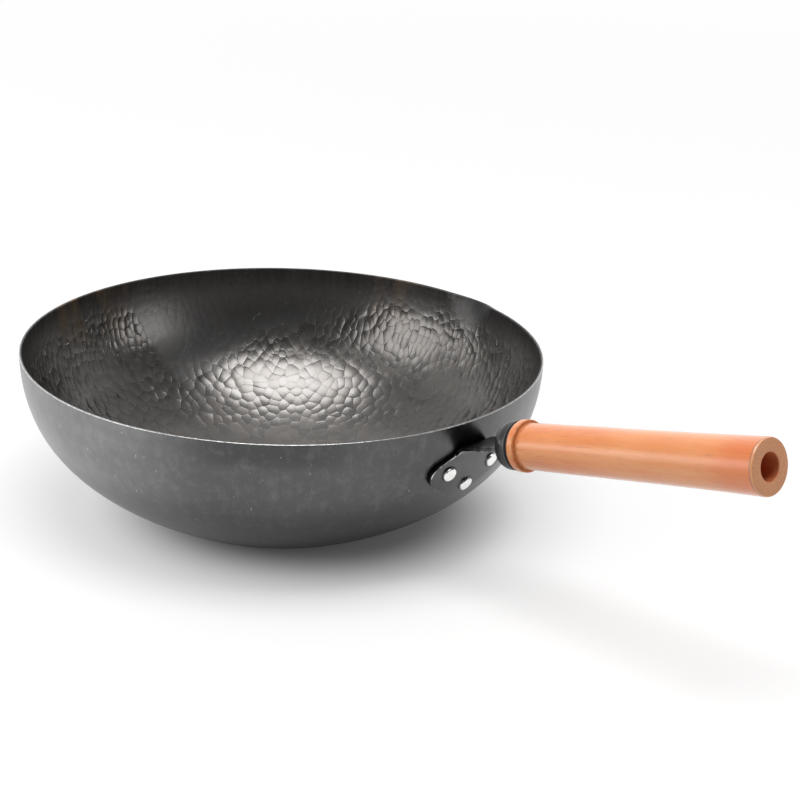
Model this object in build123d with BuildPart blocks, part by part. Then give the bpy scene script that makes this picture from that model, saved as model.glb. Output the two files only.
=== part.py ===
from build123d import *
from math import cos, radians, sin, sqrt, tan
import os

os.makedirs("parts", exist_ok=True)

# The origin is the middle of the flat base, Z points up and the handle runs out along +X.

# Bowl: one sheet of steel, pressed round
rim_radius = 160.0
bowl_height = 100.0
base_radius = 77.0
bowl_sheet = 1.6
base_knuckle = 14.0
base_rise = 24.0          # degrees from level, where the wall leaves the base
rim_lean = 1.5            # degrees from upright, where the wall meets the rim
lower_pull_share = 0.509  # how far the wall holds these two directions, as shares of
upper_pull_share = 0.335  # the straight line from the base's edge to the rim

# Pour lip, pressed out of the rim
lip_bearing = 84.9        # degrees round from the handle
lip_width = 35.0
lip_reach = 6.0
lip_fall = 20.0
lip_dip = 2.2

# Bracket: a sheet that is riveted to the wall and bent out into a tongue
bracket_sheet = 3.0
bracket_bend = 5.0
tongue_width = 25.0
tongue_steepening = 3.5   # degrees that the tongue is steeper than the handle
plate_width = 60.4
plate_corner_round = 7.7
plate_corner_height = 70.0
plate_margin = 10.0       # from the lower rivet's middle to the plate's edge
neck_rise = 22.7          # from the lower rivet to where the plate has narrowed to the tongue

# Rivets: two above, and one below them in the middle
rivet_spread = 17.5
upper_rivet_height = 71.4
lower_rivet_height = 60.3
rivet_shank_radius = 2.4
rivet_head_radius = 4.4
rivet_head_rise = 1.9
rivet_head_round = 0.7
inner_head_radius = 4.4
inner_head_rise = 1.3
inner_head_round = 0.6

# Handle line: it starts under the rim and climbs outwards
handle_root_height = 86.5
handle_tilt = 13.0        # degrees

# Collar and sealing ring, between the bracket and the wood
collar_start = 28.1       # from the root of the handle line to the collar's front
collar_radius = 14.4
collar_length = 8.5
collar_web = 1.2
collar_round = 1.2
ring_radius = 14.1
ring_length = 1.0

# Boss: a threaded piece, slotted over the tongue's end and welded to it
boss_radius = 6.0
boss_length = 22.0
boss_slot_depth = 5.0
boss_thread_depth = 14.0

# Grip: turned wood, with a bead at the front and a hanging bore at the end
grip_length = 173.0
bead_radius = 15.1
bead_length = 5.6
bead_round = 1.6
groove_radius = 12.8
groove_width = 1.6
groove_round = 0.4
waist_radius = 13.3
middle_radius = 14.15
swell_radius = 14.85
butt_radius = 15.9
middle_share = 0.42       # places along the grip
swell_share = 0.72
butt_bevel = 1.4
butt_bevel_depth = 0.4
hang_radius = 7.8
hang_depth = 38.0
hang_round = 0.8
seat_radius = 6.6
seat_depth = 9.0

# Screw that draws the grip onto the boss, with its two washers
screw_radius = 3.0
thread_engagement = 12.0  # how far the screw reaches into the boss
screw_head_radius = 5.0
screw_head_length = 4.0
screw_head_round = 1.0
socket_width = 4.0
socket_depth = 2.4
flat_washer_radius = 6.0
flat_washer_sheet = 1.6
spring_washer_radius = 5.2
spring_washer_sheet = 1.6
spring_washer_slit = 0.8

# Fits
film = 0.15               # between curved faces that are riveted together
hole_fit = 0.05           # around a rivet or a thread
slide_fit = 0.2           # around the boss, the tongue and the screw
boss_end_gap = 1.0        # left behind the boss, so that the screw can draw the grip tight
overrun = 5.0             # how far a cut runs past what it cuts

# Wall, drawn flat with X from the middle of the bowl and Y up
foot_run = Vector(cos(radians(base_rise)), sin(radians(base_rise)))
rim_run = Vector(sin(radians(rim_lean)), cos(radians(rim_lean)))


def outward(direction):
    return Vector(direction.Y, -direction.X)


def wall_curve(inset):
    # the inset is how far inside the wall's outer face the line runs
    foot = Vector(base_radius - inset * tan(radians(base_rise) / 2), inset)
    top = Vector(rim_radius, bowl_height) - outward(rim_run) * inset
    chord = (top - foot).length
    lower_pull = foot + foot_run * chord * lower_pull_share
    upper_pull = top - rim_run * chord * upper_pull_share
    return Bezier(foot, lower_pull, upper_pull, top)


wall_line = wall_curve(0)
inner_line = wall_curve(bowl_sheet)
sheet_line = wall_curve(-film - bracket_sheet / 2)


def share_where(rising_value):
    low, high = 0.0, 1.0
    for _ in range(40):
        middle = (low + high) / 2
        if rising_value(middle) < 0:
            low = middle
        else:
            high = middle
    return low


def wall_share_at(height):
    return share_where(lambda share: (wall_line @ share).Y - height)


# Handle line, flat and then in space, with the planes along it
root = Vector(rim_radius, handle_root_height)
run = Vector(cos(radians(handle_tilt)), sin(radians(handle_tilt)))
handle_root = Vector(root.X, 0, root.Y)
handle_run = Vector(run.X, 0, run.Y)
handle_axis = Axis(handle_root, handle_run)
handle_plane = Plane(handle_root, x_dir=(0, 1, 0), z_dir=handle_run)
handle_side = Plane(handle_root, x_dir=handle_run, z_dir=(0, -1, 0))

ring_start = collar_start + collar_length
grip_start = ring_start + ring_length
grip_end = grip_start + grip_length
seat_level = grip_end - hang_depth - seat_depth
spring_level = seat_level + flat_washer_sheet
head_level = spring_level + spring_washer_sheet
boss_start = collar_start + collar_web
boss_end = boss_start + boss_length
tongue_end = boss_start + boss_slot_depth
tongue_climb = (tongue_end - collar_start) * tan(radians(tongue_steepening))
slot_height = bracket_sheet + 2 * (tongue_climb + slide_fit)
screw_length = head_level - boss_end + thread_engagement
bead_end = grip_start + bead_length
waist_start = bead_end + groove_width

# Middle line of the bracket's sheet: up the wall, round the bend and out along the tongue
tongue_tilt = radians(handle_tilt + tongue_steepening)
tongue_run = Vector(cos(tongue_tilt), sin(tongue_tilt))
tongue_crossing = root + run * collar_start
bend_radius = bracket_bend + bracket_sheet / 2


def bend_centre(share):
    return sheet_line @ share + outward(sheet_line % share) * bend_radius


def bend_excess(share):
    return bend_radius - (bend_centre(share) - tongue_crossing).dot(outward(tongue_run))


bend_share = share_where(bend_excess)
bend_middle = bend_centre(bend_share)
bend_finish = bend_middle - outward(tongue_run) * bend_radius
bend_turn = outward(sheet_line % bend_share) + outward(tongue_run)
bend_crown = bend_middle - bend_turn.normalized() * bend_radius
tongue_reach = tongue_crossing + tongue_run * (tongue_end - collar_start + overrun)

# Pour lip: a cone that leans out through the wall, widest at the rim
lip_run = Vector(cos(radians(lip_bearing)), sin(radians(lip_bearing)))
lip_plane = Plane((0, 0, 0), x_dir=(0, 0, 1), z_dir=(lip_run.X, lip_run.Y, 0))
lip_rise = lip_reach + (lip_width / 2) ** 2 / (2 * rim_radius)
lip_curve = ((lip_width / 2) ** 2 + lip_rise**2) / (2 * lip_rise)
lip_apex_radius = (wall_line @ wall_share_at(bowl_height - lip_fall)).X
lip_middle_radius = rim_radius + lip_reach - lip_curve
dip_curve = ((lip_width / 2) ** 2 + lip_dip**2) / (2 * lip_dip)


def lip_place(share):
    # the share is 0 at the cone's tip and 1 at the rim
    radius = lip_apex_radius + (lip_middle_radius - lip_apex_radius) * share
    return Vector(lip_run.X * radius, lip_run.Y * radius, bowl_height + lip_fall * (share - 1))


def lip_cone(inset):
    top_share = 1 + overrun / lip_fall
    with BuildPart() as cone:
        with BuildSketch(Plane(lip_place(top_share))) as top:
            Circle(lip_curve * top_share - inset)
        loft([top.sketch.face(), Vertex(lip_place(inset / lip_curve))])
    return cone.part


lip_outside = lip_cone(0)
lip_inside = lip_cone(bowl_sheet)


# Rivet planes: each stands square on the wall's outside
def rivet_plane(height, sideways):
    share = wall_share_at(height)
    place = wall_line @ share
    side = outward(wall_line % share)
    ahead = sqrt(place.X**2 - sideways**2)
    return Plane(
        (ahead, sideways, place.Y),
        x_dir=(-sideways, ahead, 0),
        z_dir=(side.X * ahead / place.X, side.X * sideways / place.X, side.Y),
    )


rivet_planes = {
    "rivet_left": rivet_plane(upper_rivet_height, -rivet_spread),
    "rivet_right": rivet_plane(upper_rivet_height, rivet_spread),
    "rivet_lower": rivet_plane(lower_rivet_height, 0),
}

with BuildPart() as rivet_holes:
    for plane in rivet_planes.values():
        with BuildSketch(plane):
            Circle(rivet_shank_radius + hole_fit)
        extrude(amount=bowl_sheet + bracket_sheet + overrun, both=True)

with BuildPart() as hollow:
    with BuildSketch(Plane.XZ):
        with BuildLine():
            add(inner_line)
            hollow_top = bowl_height + overrun
            Polyline(
                inner_line @ 1,
                ((inner_line @ 1).X, hollow_top),
                (0, hollow_top),
                (0, bowl_sheet),
                inner_line @ 0,
            )
        make_face()
    revolve(axis=Axis.Z)
    fillet(hollow.edges().sort_by(Axis.Z)[0], base_knuckle - bowl_sheet)

with BuildPart() as bowl:
    with BuildSketch(Plane.XZ):
        with BuildLine():
            add(wall_line)
            Polyline(wall_line @ 1, (0, bowl_height), (0, 0), wall_line @ 0)
        make_face()
    revolve(axis=Axis.Z)
    fillet(bowl.edges().sort_by(Axis.Z)[0], base_knuckle)
    add(lip_outside)
    split(bisect_by=Plane.XY.offset(bowl_height), keep=Keep.BOTTOM)
    add(hollow.part, mode=Mode.SUBTRACT)
    add(lip_inside, mode=Mode.SUBTRACT)
    with BuildSketch(lip_plane):
        with Locations((bowl_height - lip_dip + dip_curve, 0)):
            Circle(dip_curve)
    extrude(amount=rim_radius + lip_reach + overrun, mode=Mode.SUBTRACT)
    add(rivet_holes.part, mode=Mode.SUBTRACT)
bowl.part.label = "bowl"
export_step(bowl.part, "parts/bowl.step")

with BuildPart() as bracket:
    with BuildSketch(Plane.XZ):
        with BuildLine():
            add(sheet_line.trim(0, bend_share))
            ThreePointArc(sheet_line @ bend_share, bend_crown, bend_finish)
            Line(bend_finish, tongue_reach)
        trace(line_width=bracket_sheet)
    revolve(axis=Axis.Z)
    with BuildSketch(Plane.YZ):
        corner_reach = plate_width / 2 - plate_corner_round
        with Locations((-corner_reach, plate_corner_height), (corner_reach, plate_corner_height)):
            Circle(plate_corner_round)
        with Locations((0, lower_rivet_height)):
            Circle(plate_margin)
            Rectangle(tongue_width, neck_rise, align=(Align.CENTER, Align.MIN))
        make_hull()
        with Locations((0, lower_rivet_height)):
            Rectangle(tongue_width, bowl_height, align=(Align.CENTER, Align.MIN))
    extrude(amount=rim_radius + grip_end, mode=Mode.INTERSECT)
    split(bisect_by=handle_plane.offset(tongue_end), keep=Keep.BOTTOM)
    add(rivet_holes.part, mode=Mode.SUBTRACT)
bracket.part.label = "bracket"
export_step(bracket.part, "parts/bracket.step")


def make_rivet(plane):
    line = Axis(plane.origin, plane.z_dir)
    with BuildPart() as rivet:
        with BuildSketch(plane.offset(-bowl_sheet - film)):
            Circle(inner_head_radius)
        extrude(amount=-inner_head_rise)
        fillet(rivet.edges().sort_by(line)[0], inner_head_round)
        with BuildSketch(plane.offset(film + bracket_sheet)):
            Circle(rivet_head_radius)
        extrude(amount=rivet_head_rise)
        fillet(rivet.edges().sort_by(line)[-1], rivet_head_round)
        with BuildSketch(plane.offset(-bowl_sheet - film)):
            Circle(rivet_shank_radius)
        extrude(amount=bowl_sheet + 2 * film + bracket_sheet)
    return rivet.part


for name, plane in rivet_planes.items():
    rivet = make_rivet(plane)
    rivet.label = name
    export_step(rivet, f"parts/{name}.step")

with BuildPart() as tang_boss:
    with BuildSketch(handle_plane.offset(boss_start)):
        Circle(boss_radius)
    extrude(amount=boss_length)
    with BuildSketch(handle_plane.offset(boss_start)):
        Rectangle(2 * boss_radius + overrun, slot_height)
    extrude(amount=boss_slot_depth, mode=Mode.SUBTRACT)
    with BuildSketch(handle_plane.offset(boss_end)):
        Circle(screw_radius + hole_fit)
    extrude(amount=-boss_thread_depth, mode=Mode.SUBTRACT)
tang_boss.part.label = "tang_boss"
export_step(tang_boss.part, "parts/tang_boss.step")

with BuildPart() as collar:
    with BuildSketch(handle_plane.offset(collar_start)):
        Circle(collar_radius)
    extrude(amount=collar_length)
    fillet(collar.edges().sort_by(handle_axis)[0], collar_round)
    with BuildSketch(handle_plane.offset(boss_start)):
        Circle(boss_radius + slide_fit)
    extrude(amount=collar_length, mode=Mode.SUBTRACT)
    with BuildSketch(handle_plane.offset(collar_start)):
        Rectangle(tongue_width + 2 * slide_fit, slot_height)
    extrude(amount=tongue_end + slide_fit - collar_start, mode=Mode.SUBTRACT)
collar.part.label = "collar"
export_step(collar.part, "parts/collar.step")

with BuildPart() as sealing_ring:
    with BuildSketch(handle_plane.offset(ring_start)):
        Circle(ring_radius)
        Circle(boss_radius + slide_fit, mode=Mode.SUBTRACT)
    extrude(amount=ring_length)
sealing_ring.part.label = "sealing_ring"
export_step(sealing_ring.part, "parts/sealing_ring.step")

with BuildPart() as grip:
    with BuildSketch(handle_side):
        with BuildLine():
            FilletPolyline(
                (grip_start, 0),
                (grip_start, bead_radius),
                (bead_end, bead_radius),
                (bead_end, groove_radius),
                (waist_start, groove_radius),
                (waist_start, waist_radius),
                radius=[bead_round, bead_round, groove_round, groove_round],
            )
            Spline(
                (waist_start, waist_radius),
                (grip_start + grip_length * middle_share, middle_radius),
                (grip_start + grip_length * swell_share, swell_radius),
                (grip_end - butt_bevel, butt_radius),
            )
            Polyline(
                (grip_end - butt_bevel, butt_radius),
                (grip_end, butt_radius - butt_bevel_depth),
                (grip_end, 0),
                (grip_start, 0),
            )
        make_face()
    revolve(axis=handle_axis)
    bores = [
        (grip_start, boss_radius + slide_fit, boss_end + boss_end_gap - grip_start),
        (grip_start, screw_radius + slide_fit, grip_length),
        (seat_level, seat_radius, seat_depth),
        (grip_end - hang_depth, hang_radius, hang_depth),
    ]
    for level, radius, depth in bores:
        with BuildSketch(handle_plane.offset(level)):
            Circle(radius)
        extrude(amount=depth, mode=Mode.SUBTRACT)
    end_circles = grip.edges().group_by(handle_axis)[-1]
    fillet(end_circles.sort_by(SortBy.RADIUS)[0], hang_round)
grip.part.label = "grip"
export_step(grip.part, "parts/grip.step")

with BuildPart() as handle_screw:
    with BuildSketch(handle_plane.offset(head_level)):
        Circle(screw_radius)
    extrude(amount=-screw_length)
    with BuildSketch(handle_plane.offset(head_level)):
        Circle(screw_head_radius)
    extrude(amount=screw_head_length)
    fillet(handle_screw.edges().sort_by(handle_axis)[-1], screw_head_round)
    with BuildSketch(handle_plane.offset(head_level + screw_head_length)):
        RegularPolygon(socket_width / 2, 6, major_radius=False)
    extrude(amount=-socket_depth, mode=Mode.SUBTRACT)
handle_screw.part.label = "handle_screw"
export_step(handle_screw.part, "parts/handle_screw.step")

with BuildPart() as flat_washer:
    with BuildSketch(handle_plane.offset(seat_level)):
        Circle(flat_washer_radius)
        Circle(screw_radius + slide_fit, mode=Mode.SUBTRACT)
    extrude(amount=flat_washer_sheet)
flat_washer.part.label = "flat_washer"
export_step(flat_washer.part, "parts/flat_washer.step")

with BuildPart() as spring_washer:
    with BuildSketch(handle_plane.offset(spring_level)):
        Circle(spring_washer_radius)
        Circle(screw_radius + slide_fit, mode=Mode.SUBTRACT)
        with Locations((spring_washer_radius, 0)):
            Rectangle(2 * spring_washer_radius, spring_washer_slit, mode=Mode.SUBTRACT)
    extrude(amount=spring_washer_sheet)
spring_washer.part.label = "spring_washer"
export_step(spring_washer.part, "parts/spring_washer.step")
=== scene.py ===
from math import acos, atan2, ceil, cos, pi, radians, sin, sqrt, tan

import bmesh
import bpy
import numpy as np
from mathutils import Matrix, Vector


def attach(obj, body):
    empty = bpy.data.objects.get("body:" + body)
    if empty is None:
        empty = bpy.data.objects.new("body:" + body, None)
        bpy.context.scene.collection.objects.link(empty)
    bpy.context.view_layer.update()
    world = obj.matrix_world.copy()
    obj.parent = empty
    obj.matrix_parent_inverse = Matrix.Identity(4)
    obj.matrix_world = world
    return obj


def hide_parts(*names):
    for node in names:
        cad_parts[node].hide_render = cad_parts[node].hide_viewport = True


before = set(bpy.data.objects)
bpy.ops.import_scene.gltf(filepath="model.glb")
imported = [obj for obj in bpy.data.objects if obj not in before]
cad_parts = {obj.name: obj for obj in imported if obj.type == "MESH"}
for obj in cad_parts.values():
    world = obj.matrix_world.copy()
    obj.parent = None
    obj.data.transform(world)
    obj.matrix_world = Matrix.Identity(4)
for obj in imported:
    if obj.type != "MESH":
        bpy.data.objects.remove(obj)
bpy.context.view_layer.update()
mm = 0.001
weld = 0.002 * mm      # points closer than this are one


def millimetres(**sizes):
    return {name: size * mm for name, size in sizes.items()}


print("frame loaded:", ", ".join(sorted(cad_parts)))


class Wire:
    # a node's output that can be used in sums
    def __init__(self, board, socket):
        self.board, self.socket = board, socket

    def __abs__(self):
        return self.board.maths("ABSOLUTE", self)


def bothWays(operation):
    def forwards(wire, other):
        return wire.board.maths(operation, wire, other)

    def backwards(wire, other):
        return wire.board.maths(operation, other, wire)

    return forwards, backwards


sums = {"add": "ADD", "sub": "SUBTRACT", "mul": "MULTIPLY", "truediv": "DIVIDE", "pow": "POWER"}
for word, operation in sums.items():
    forwards, backwards = bothWays(operation)
    setattr(Wire, f"__{word}__", forwards)
    setattr(Wire, f"__r{word}__", backwards)


class Board:
    # the nodes of one material or one geometry tree
    def __init__(self, tree):
        self.tree = tree

    def node(self, kind, inputs=None, output=0, **settings):
        made = self.tree.nodes.new(kind)
        for key, value in settings.items():
            setattr(made, key, value)
        for key, value in (inputs or {}).items():
            self.join(made, key, value)
        found = [s for s in made.outputs if s.enabled]
        if isinstance(output, str):
            return Wire(self, [s for s in found if s.name == output][0])
        return Wire(self, found[output]) if found else None

    def join(self, made, key, value):
        sockets = [s for s in made.inputs if s.enabled]
        socket = [s for s in sockets if s.name == key][0] if isinstance(key, str) else sockets[key]
        if isinstance(value, Wire):
            self.tree.links.new(value.socket, socket)
        else:
            socket.default_value = (*value, 1) if socket.type == "RGBA" else value

    def maths(self, operation, *values, clamp=False):
        return self.node("ShaderNodeMath", dict(enumerate(values)), operation=operation, use_clamp=clamp)

    def vectorMaths(self, operation, *values):
        return self.node("ShaderNodeVectorMath", dict(enumerate(values)), operation=operation)

    def noise(self, vector, scale, detail=3.0, roughness=0.5, distortion=0.0, output="Fac"):
        inputs = {"Vector": vector, "Scale": scale, "Detail": detail, "Roughness": roughness,
                  "Distortion": distortion}
        return self.node("ShaderNodeTexNoise", inputs, output)

    def stretchedNoise(self, place, scales, *rest):
        # noise with a scale of its own along each part of the place
        return self.noise(self.vector(*[part * scale for part, scale in zip(place, scales)]), 1.0, *rest)

    def steps(self, value, low, high, start=0.0, end=1.0, smooth=True):
        # from start at the low value to end at the high one, or falling where the first is the larger
        inputs = {"Value": value, "From Min": low, "From Max": high, "To Min": start, "To Max": end}
        kind = "SMOOTHSTEP" if smooth else "LINEAR"
        return self.node("ShaderNodeMapRange", inputs, interpolation_type=kind)

    def near(self, value, middle, full, gone, strength=1.0):
        # strong close to the middle value, and nothing away from it
        return self.steps(abs(value - middle), full, gone, strength, 0.0)

    def mix(self, share, first, second):
        return self.node("ShaderNodeMix", {"Factor": share, "A": first, "B": second}, data_type="RGBA")

    def coats(self, base, *coats):
        # colours laid over one another, each with its share
        for share, colour in coats:
            base = self.mix(share, base, colour)
        return base

    def parts(self, vector):
        made = self.node("ShaderNodeSeparateXYZ", {0: vector}).socket.node
        return [Wire(self, s) for s in made.outputs]

    def vector(self, x=0.0, y=0.0, z=0.0):
        return self.node("ShaderNodeCombineXYZ", {"X": x, "Y": y, "Z": z})

    def bump(self, height, strength, distance, normal=None):
        inputs = {"Height": height, "Strength": strength, "Distance": distance}
        if normal is not None:
            inputs["Normal"] = normal
        return self.node("ShaderNodeBump", inputs)

    def attribute(self, name, output="Fac"):
        return self.node("ShaderNodeAttribute", None, output, attribute_name=name)


def grey(value):
    return (value, value, value)


def newFinish(name):
    # an empty board for a material, and the place on the piece
    material = bpy.data.materials.new(name)
    material.use_nodes = True
    material.node_tree.nodes.clear()
    b = Board(material.node_tree)
    b.material = material
    return b, b.node("ShaderNodeTexCoord", output="Object")


def surface(b, values, shader=None):
    # the finished material, with the plain shader unless another is given
    shader = shader or b.node("ShaderNodeBsdfPrincipled", values)
    b.node("ShaderNodeOutputMaterial", {"Surface": shader})
    return b.material


# shapes shared by the pieces
shape = {
    **millimetres(rimRadius=160, height=100, baseRadius=77, sheet=1.6, knuckle=14, handleRootHeight=86.5),
    "baseRise": 24.0, "rimLean": 1.5, "lowerPull": 0.509, "upperPull": 0.335, "handleTilt": 13.0,
}
lip = {
    **millimetres(width=35, reach=5.9, fall=30, dip=2.2), "bearing": 84.9, "softness": 0.34,
    "foot": 0.55,      # the width where the lip starts, as a share of its width at the rim
}
footRun = np.array([cos(radians(shape["baseRise"])), sin(radians(shape["baseRise"]))])
rimRun = np.array([sin(radians(shape["rimLean"])), cos(radians(shape["rimLean"]))])
handleRun = np.array([cos(radians(shape["handleTilt"])), sin(radians(shape["handleTilt"]))])
handleRoot = np.array([shape["rimRadius"], shape["handleRootHeight"]])
handleAxis = Vector((handleRun[0], 0, handleRun[1]))
handleStart = Vector((handleRoot[0], 0, handleRoot[1]))


def wallLine(inset, count=400):
    # the wall from its foot to its rim, as points of radius and height
    foot = np.array([shape["baseRadius"] - inset * tan(radians(shape["baseRise"]) / 2), inset])
    top = np.array([shape["rimRadius"], shape["height"]]) - np.array([rimRun[1], -rimRun[0]]) * inset
    chord = np.linalg.norm(top - foot)
    low = foot + footRun * chord * shape["lowerPull"]
    high = top - rimRun * chord * shape["upperPull"]
    t = np.linspace(0, 1, count)[:, None]
    return (1 - t) ** 3 * foot + 3 * (1 - t) ** 2 * t * low + 3 * (1 - t) * t ** 2 * high + t ** 3 * top


def lengths(line):
    return np.concatenate([[0], np.cumsum(np.linalg.norm(np.diff(line, axis=0), axis=1))])


def unitRuns(line, *spacing):
    # the line's direction at each of its points
    runs = np.gradient(line, *spacing, axis=0)
    return runs / np.linalg.norm(runs, axis=1)[:, None]


def arc(centre, first, last, steps):
    # points round a centre, turned from one spoke to the other
    sweep = atan2(first[0] * last[1] - first[1] * last[0], first @ last)
    turn = np.linspace(0, sweep, steps + 1)[:, None]
    return centre + first * np.cos(turn) + np.array([-first[1], first[0]]) * np.sin(turn)


def bowlLine(inset):
    # the whole section from the middle of the base to the rim
    wall = wallLine(inset)
    bend = shape["knuckle"] - inset
    reach = bend * tan(radians(shape["baseRise"]) / 2)
    centre = np.array([wall[0][0] - reach, inset + bend])
    knuckle = arc(centre, np.array([0, -bend]), np.array([footRun[1], -footRun[0]]) * bend, 8)
    keep = wall[lengths(wall) > reach * 1.05]
    keep = keep[keep[:, 1] < shape["height"]]
    top = [np.interp(shape["height"], wall[:, 1], wall[:, 0]), shape["height"]]
    return np.concatenate([[[0, inset]], knuckle, keep, [top]])


def sampled(line, place):
    along = lengths(line)
    return np.interp(place, along, line[:, 0]), np.interp(place, along, line[:, 1])


def roundedLine(corners, steps=5):
    # corners are (place, radius, rounding); gives the polyline with its corners rounded
    points = []
    for i, (x, y, bend) in enumerate(corners):
        here = np.array([x, y], float)
        if bend == 0 or i in (0, len(corners) - 1):
            points.append(here)
            continue
        back = np.array(corners[i - 1][:2], float) - here
        ahead = np.array(corners[i + 1][:2], float) - here
        backLength, aheadLength = np.linalg.norm(back), np.linalg.norm(ahead)
        back, ahead = back / backLength, ahead / aheadLength
        half = np.arccos(np.clip(back @ ahead, -1, 1)) / 2
        reach = min(bend / tan(half), backLength * 0.49, aheadLength * 0.49)
        bend = reach * tan(half)
        middle = (back + ahead) / np.linalg.norm(back + ahead)
        centre = here + middle * bend / sin(half)
        points.extend(arc(centre, here + back * reach - centre, here + ahead * reach - centre, steps))
    return np.array(points)


def linked(name, data):
    made = bpy.data.objects.new(name, data)
    bpy.context.scene.collection.objects.link(made)
    return made


def meshPiece(name, points, faces):
    mesh = bpy.data.meshes.new(name)
    mesh.from_pydata([tuple(p) for p in points], [], faces)
    mesh.validate()
    return linked(name, mesh)


def openMesh(mesh):
    bm = bmesh.new()
    bm.from_mesh(mesh)
    return bm


def closeMesh(bm, mesh):
    bmesh.ops.recalc_face_normals(bm, faces=bm.faces)
    bm.to_mesh(mesh)
    bm.free()


def cutMesh(bm, place, normal):
    # adds a row of edges where a plane passes through
    bmesh.ops.bisect_plane(bm, geom=bm.verts[:] + bm.edges[:] + bm.faces[:], dist=1e-7,
                           plane_co=place, plane_no=normal)


def smoothFaces(piece, sharpAbove):
    piece.data.polygons.foreach_set("use_smooth", [True] * len(piece.data.polygons))
    piece.data.set_sharp_from_angle(angle=radians(sharpAbove))


def seat(piece, nodes, material):
    piece.data.materials.clear()
    piece.data.materials.append(material)
    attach(piece, "root")
    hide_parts(*nodes)


def newTree(name, sockets):
    tree = bpy.data.node_groups.new(name, "GeometryNodeTree")
    tree.is_modifier = True
    tree.interface.new_socket("Geometry", in_out="INPUT", socket_type="NodeSocketGeometry")
    for label, kind, value in sockets:
        made = tree.interface.new_socket(label, in_out="INPUT", socket_type="NodeSocket" + kind)
        if value is not None:
            made.default_value = value
    tree.interface.new_socket("Geometry", in_out="OUTPUT", socket_type="NodeSocketGeometry")
    b = Board(tree)
    entry = tree.nodes.new("NodeGroupInput")
    return tree, b, {s.name: Wire(b, s) for s in entry.outputs if s.name}


def endTree(b, geometry, material):
    smooth = b.node("GeometryNodeSetShadeSmooth", {"Geometry": geometry})
    real = b.node("GeometryNodeRealizeInstances", {"Geometry": smooth})
    dressed = b.node("GeometryNodeSetMaterial", {"Geometry": real, "Material": material})
    b.node("NodeGroupOutput", {"Geometry": dressed})


def throughTree(piece, tree, values, name):
    # the piece goes through a geometry tree, and a plain mesh comes out
    modifier = piece.modifiers.new(tree.name, "NODES")
    modifier.node_group = tree
    known = {s.name: s.identifier for s in tree.interface.items_tree if s.item_type == "SOCKET"
             and s.in_out == "INPUT"}
    for label, value in values.items():
        modifier[known[label]] = value
    graph = bpy.context.evaluated_depsgraph_get()
    made = bpy.data.meshes.new_from_object(piece.evaluated_get(graph))
    made.name = name
    piece.modifiers.remove(modifier)
    bpy.data.objects.remove(piece)
    return linked(name, made)


def latheTree():
    # turns a section (X is the radius, Z the place along the axis) into a closed solid
    tree, b, entry = newTree("turnOnLathe", [
        ("Steps Round", "Int", 128), ("Section Points", "Int", 10), ("Start", "Vector", (0, 0, 0)),
        ("Axis", "Vector", (0, 0, 1)), ("Dent Depth", "Float", 0.0), ("Dent Size", "Float", 2 * mm),
        ("Seed", "Float", 0.0), ("Material", "Material", None)])
    count = entry["Section Points"]
    grid = b.node("GeometryNodeMeshGrid", {
        "Size X": 1.0, "Size Y": 1.0, "Vertices X": entry["Steps Round"] + 1, "Vertices Y": count}, "Mesh")
    index = b.node("GeometryNodeInputIndex")
    row = b.maths("MODULO", index, count)
    column = b.maths("FLOOR", index / count + 0.0001)
    turn = column / entry["Steps Round"] * (2 * pi)
    place = b.node("GeometryNodeInputPosition")
    point = b.node("GeometryNodeSampleIndex", {"Geometry": entry["Geometry"], "Value": place, "Index": row},
                   data_type="FLOAT_VECTOR", domain="POINT")
    radius, _, level = b.parts(point)
    spot = b.vector(radius * b.maths("COSINE", turn), radius * b.maths("SINE", turn), level)
    aim = b.node("FunctionNodeAlignRotationToVector", {"Vector": entry["Axis"]}, axis="Z")
    leant = b.node("FunctionNodeRotateVector", {"Vector": spot, "Rotation": aim})
    moved = b.vectorMaths("ADD", leant, entry["Start"])
    shell = b.node("GeometryNodeSetPosition", {"Geometry": grid, "Position": moved})
    closed = b.node("GeometryNodeMergeByDistance", {"Geometry": shell, "Distance": weld})
    seeded = b.vectorMaths("ADD", b.node("GeometryNodeInputPosition"), entry["Seed"])
    dents = b.noise(seeded, 1 / entry["Dent Size"], 1.0) - 0.5
    push = b.vectorMaths("SCALE", b.node("GeometryNodeInputNormal"), dents * entry["Dent Depth"])
    dented = b.node("GeometryNodeSetPosition", {"Geometry": closed, "Offset": push})
    endTree(b, dented, entry["Material"])
    return tree


lathe = latheTree()


def turned(name, section, start, axis, material, stepsRound, dentDepth=0.0, dentSize=2 * mm, seed=0.0):
    # the section's loop is closed here, and runs so that the faces look outwards
    loop = np.concatenate([section, section[:1]])
    points = [(r, 0, z) for z, r in loop]
    line = meshPiece(name + "Line", points, [])
    values = {"Steps Round": stepsRound, "Section Points": len(points), "Start": tuple(start),
              "Axis": tuple(axis), "Dent Depth": dentDepth, "Dent Size": dentSize, "Seed": seed,
              "Material": material}
    piece = throughTree(line, lathe, values, name)
    bm = openMesh(piece.data)
    bmesh.ops.dissolve_degenerate(bm, edges=bm.edges, dist=weld / 2)
    closeMesh(bm, piece.data)
    return piece


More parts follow.
